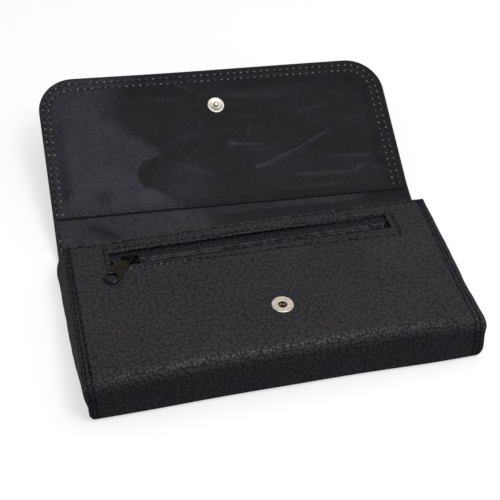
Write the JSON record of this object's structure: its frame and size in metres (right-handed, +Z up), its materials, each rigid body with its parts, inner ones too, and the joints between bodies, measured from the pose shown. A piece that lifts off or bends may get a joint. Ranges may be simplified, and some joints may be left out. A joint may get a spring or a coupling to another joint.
{
  "type": "clutch wallet",
  "caption": "Wide soft clutch wallet lying open: stuffed body with a zip pocket in front, card slots inside and a folding flap that shuts with a press stud.",
  "frame": {"origin": "middle of the back's outer face, on the surface that the wallet lies on", "axes": "+X along the width to the viewer's right, +Y from the near face to the flap, +Z up from the surface"},
  "size_m": [0.19, 0.1873, 0.0383],
  "materials": {
    "cover_leather": "pebbled",
    "trim_leather": "fine grained",
    "satin": "satin",
    "zip_tape": "woven",
    "zip_coil": "moulded",
    "board": "plain",
    "nickel": "polished",
    "gunmetal": "satin"
  },
  "bodies": {
    "body": {"cover_leather": "cover_leather", "left_side_wall": "trim_leather", "right_side_wall": "trim_leather", "base_board": "board", "back_board": "board", "back_lining": "satin", "zip_pocket_lining": "satin", "zip_tape_upper": "zip_tape", "zip_tape_lower": "zip_tape", "zip_coil_upper": "zip_coil", "zip_coil_lower": "zip_coil", "zip_stop_left": "gunmetal", "zip_stop_right": "gunmetal", "snap_socket": "nickel", "snap_socket_back": "nickel", "spine_fold_strip": "trim_leather"},
    "leaf": {"card_leaf": "satin", "card_slot_row_1": "trim_leather", "card_slot_row_2": "trim_leather", "card_slot_row_3": "trim_leather"},
    "slider": {"zip_slider": "gunmetal"},
    "tab": {"pull_tab": "gunmetal"},
    "spine": {"spine_leather": "cover_leather", "spine_lining": "satin", "flap_fold_strip": "trim_leather"},
    "flap": {"flap_leather": "cover_leather", "flap_lining": "satin", "flap_pocket": "satin", "snap_stud": "nickel", "snap_cap": "nickel"}
  },
  "joints": [
    {"name": "spine_fold", "type": "hinge", "parent": "body", "child": "spine", "pos_m": [0, 0.0451, 0.0014], "axis": [1, 0, 0], "range_deg": [-12, 69.6]},
    {"name": "flap_fold", "type": "hinge", "parent": "spine", "child": "flap", "pos_m": [0, 0.06601, 0.00918], "axis": [1, 0, 0], "range_deg": [-8, 84.85]},
    {"name": "zip_slide", "type": "slide", "parent": "body", "child": "slider", "axis": [1, 0, 0], "range_m": [-0.0026, 0.1258]},
    {"name": "pull_lift", "type": "hinge", "parent": "slider", "child": "tab", "pos_m": [-0.0638, 0.02954, 0.02233], "axis": [0.809, -0.5861, 0.0441], "range_deg": [-95, 0]},
    {"name": "leaf_lean", "type": "hinge", "parent": "body", "child": "leaf", "pos_m": [0, -0.0385, 0.0034], "axis": [1, 0, 0], "range_deg": [0, 5]}
  ]
}
